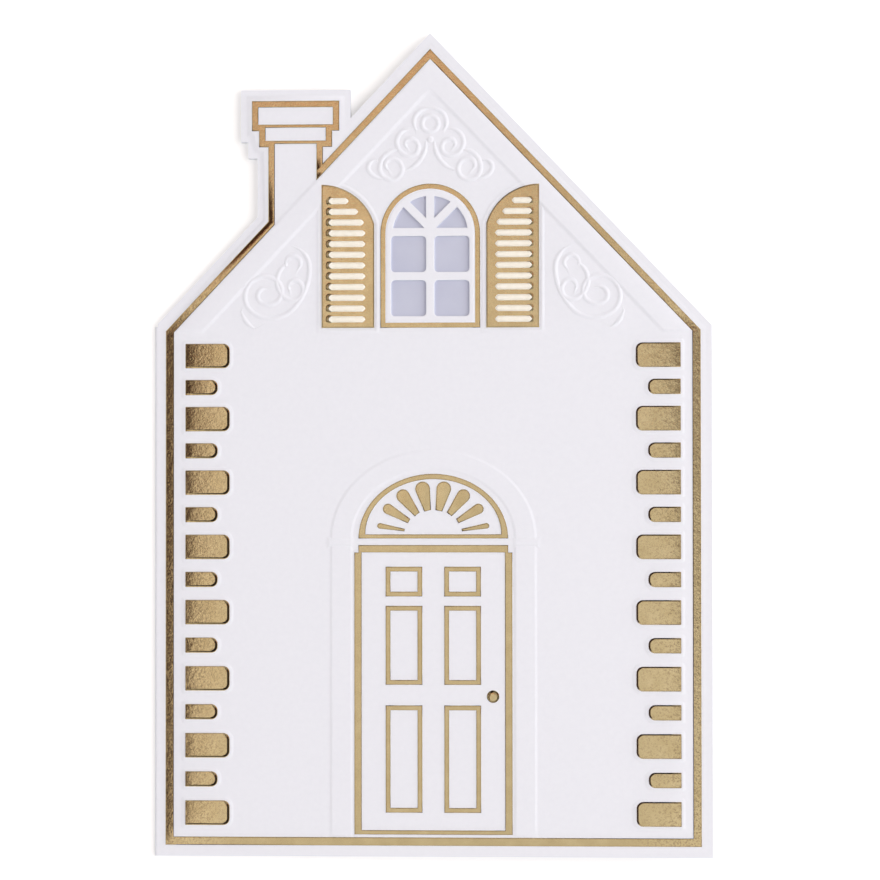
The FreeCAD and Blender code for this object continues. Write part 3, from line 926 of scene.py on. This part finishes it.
# Foil, draped over the relief
def foil_skin(name, node, loops):
    every = np.concatenate(loops)
    centres = flat[triangles].mean(1)
    near = near_box(centres, every.min(0), every.max(0), 0)
    faces = triangles[near][signed(centres[near], loops) > 0]
    skin = Solid()
    upper, lower = opened(flat, height + lift), opened(flat, height - sunk)
    skin.add(upper[faces], normal[faces])
    skin.add(lower[faces[:, ::-1]], -normal[faces[:, ::-1]])
    rim = rim_edges(faces)
    a, b = rim[:, 0], rim[:, 1]
    skin.quads(upper[a], lower[a], lower[b], upper[b])
    made = skin.make(name, gold)
    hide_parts(node)
    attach(made, "root")


foil_skin("border_leaf", "border_foil", border_loops())
foil_skin("chimney_leaf", "chimney_foil", chimney_loops(foil_inset))
foil_skin("window_leaf", "window_frame_foil", [window_arch, hole(sash_arch)])
foil_skin("fanlight_leaf", "fanlight_foil", fan_loops() + petal_loops())
foil_skin("door_leaf", "door_frame_foil", door_loops())
foil_skin("panel_leaf", "door_panel_foil", panel_loops())
foil_skin("knob_leaf", "door_knob_foil", [knob_loop()])
right_slats = [hole(loop) for loop in slat_loops()]
foil_skin("right_shutter_leaf", "right_shutter_foil", [shutters[0]] + right_slats)
foil_skin("left_shutter_leaf", "left_shutter_foil",
          [shutters[1]] + [mirrored(slat, gable_x) for slat in right_slats])
foil_skin("right_stone_leaf", "right_stone_foil", stones[:stone_count])
foil_skin("left_stone_leaf", "left_stone_foil", stones[stone_count:])

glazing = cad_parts["window_glazing"]
glazing.data.materials.clear()
glazing.data.materials.append(film)

# Floor
bpy.ops.mesh.primitive_plane_add(size=6, location=(0, 0, 0))
floor = bpy.context.object
floor.name = "floor"
floor_paint, tree, shader = material("floor_paint")
shader.inputs["Base Color"].default_value = (0.8, 0.8, 0.8, 1)
shader.inputs["Roughness"].default_value = 0.9
shader.inputs["Specular IOR Level"].default_value = 0.0
shader.inputs["Emission Color"].default_value = (1, 1, 1, 1)
floor.data.materials.append(floor_paint)
path = tree.nodes.new("ShaderNodeLightPath")
seen = path.outputs["Is Camera Ray"]
for kind in ("Is Glossy Ray", "Is Transmission Ray"):
    either = tree.nodes.new("ShaderNodeMath")
    either.operation = "MAXIMUM"
    tree.links.new(seen, either.inputs[0])
    tree.links.new(path.outputs[kind], either.inputs[1])
    seen = either.outputs[0]
tree.links.new(span(tree, seen, 0, 1, 0, 0.34), shader.inputs["Emission Strength"])
floor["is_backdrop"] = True

# Studio light: a sky that darkens towards the left and the right, turns copper towards the top,
# and is an even light grey near the horizon and below it
world = bpy.data.worlds.new("studio")
bpy.context.scene.world = world
world.use_nodes = True
tree = world.node_tree
tree.nodes.clear()
output = tree.nodes.new("ShaderNodeOutputWorld")
where = tree.nodes.new("ShaderNodeTexCoord")


def sky_ramp(axis, stops):
    """A colour for how far a direction lies along an axis, from -1 to 1."""
    along = tree.nodes.new("ShaderNodeVectorMath")
    along.operation = "DOT_PRODUCT"
    along.inputs[1].default_value = axis
    tree.links.new(where.outputs["Generated"], along.inputs[0])
    spread = tree.nodes.new("ShaderNodeMapRange")
    spread.inputs["From Min"].default_value = -1
    spread.inputs["From Max"].default_value = 1
    tree.links.new(along.outputs["Value"], spread.inputs["Value"])
    return ramp(tree, spread.outputs["Result"], [((at + 1) / 2, colour) for at, colour in stops])


def times(first, second):
    node = tree.nodes.new("ShaderNodeVectorMath")
    node.operation = "MULTIPLY"
    tree.links.new(first, node.inputs[0])
    tree.links.new(second, node.inputs[1])
    return node.outputs[0]


left = sky_ramp((-0.955, 0.3, 0), (
    (0.02, (1, 1, 1)), (0.055, (0.93, 0.92, 0.9)), (0.1, (0.96, 0.94, 0.92)), (0.12, (1.5, 1.46, 1.44)),
    (0.155, (1.45, 1.38, 1.33)), (0.185, (1, 0.88, 0.82)), (0.203, (0.6, 0.46, 0.42)),
    (0.218, (0.3, 0.205, 0.18)), (0.24, (0.09, 0.054, 0.046)), (0.48, (0.03, 0.018, 0.015)),
    (0.62, (0.7, 0.68, 0.66)), (0.8, (1.25, 1.25, 1.25))))
right = sky_ramp((0.66, 0.75, 0), (
    (-0.08, (0.96, 0.96, 0.96)), (-0.01, (1.05, 1.04, 1.03)), (0.062, (1, 1, 1.02)),
    (0.092, (0.88, 0.88, 0.9)), (0.114, (0.4, 0.4, 0.42)), (0.138, (0.25, 0.245, 0.255)),
    (0.2, (0.2, 0.19, 0.19)), (0.35, (0.9, 0.9, 0.9))))
top = sky_ramp((0, 1, 0), (
    (0.09, (1, 1, 1)), (0.122, (1.12, 1.09, 1.05)), (0.148, (1.17, 0.64, 0.4)), (0.19, (1.15, 0.5, 0.3)),
    (0.24, (1.05, 0.42, 0.26)), (0.3, (0.7, 0.42, 0.3)), (0.42, (0.9, 0.88, 0.86)), (0.6, (1.1, 1.1, 1.1))))
height_share = sky_ramp((0, 0, 1), ((0.36, (0, 0, 0)), (0.42, (1, 1, 1))))
low = sky_ramp((0, 0, 1), ((0.56, (0.05, 0.042, 0.035)), (0.73, (0.9, 0.9, 0.89)), (0.8, (1, 1, 1))))
sky = tree.nodes.new("ShaderNodeMix")
sky.data_type = "RGBA"
tree.links.new(height_share, sky.inputs["Factor"])
sky.inputs["A"].default_value = (0.9, 0.9, 0.9, 1)
tree.links.new(times(times(left, right), times(top, low)), sky.inputs["B"])
light = tree.nodes.new("ShaderNodeBackground")
light.inputs["Strength"].default_value = 1.12
tree.links.new(sky.outputs["Result"], light.inputs["Color"])
tree.links.new(light.outputs[0], output.inputs["Surface"])


def area_light(name, place, size, power):
    data = bpy.data.lights.new(name, "AREA")
    data.size = size
    data.energy = power
    made = bpy.data.objects.new(name, data)
    made.location = place
    bpy.context.scene.collection.objects.link(made)
    direction = -made.location
    made.rotation_euler = direction.to_track_quat("-Z", "Y").to_euler()
    made.visible_glossy = False


area_light("key", (1.36, 0.05, 0.98), 2.0, 29.0)
area_light("fill", (-1.3, 0.15, 0.75), 0.8, 4.0)

# Camera
camera_data = bpy.data.cameras.new("camera")
camera_data.lens = 133.03
camera_data.sensor_width = 36
camera_data.clip_start = 0.01
camera_data.clip_end = 100
camera = bpy.data.objects.new("camera", camera_data)
camera.location = (0.01837, -0.01229, 0.70155)
camera.rotation_euler = [math.radians(a) for a in (1.0764, 1.3745, -0.0512)]
bpy.context.scene.collection.objects.link(camera)
bpy.context.scene.camera = camera
bpy.context.scene.view_settings.view_transform = "Standard"

low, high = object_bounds()
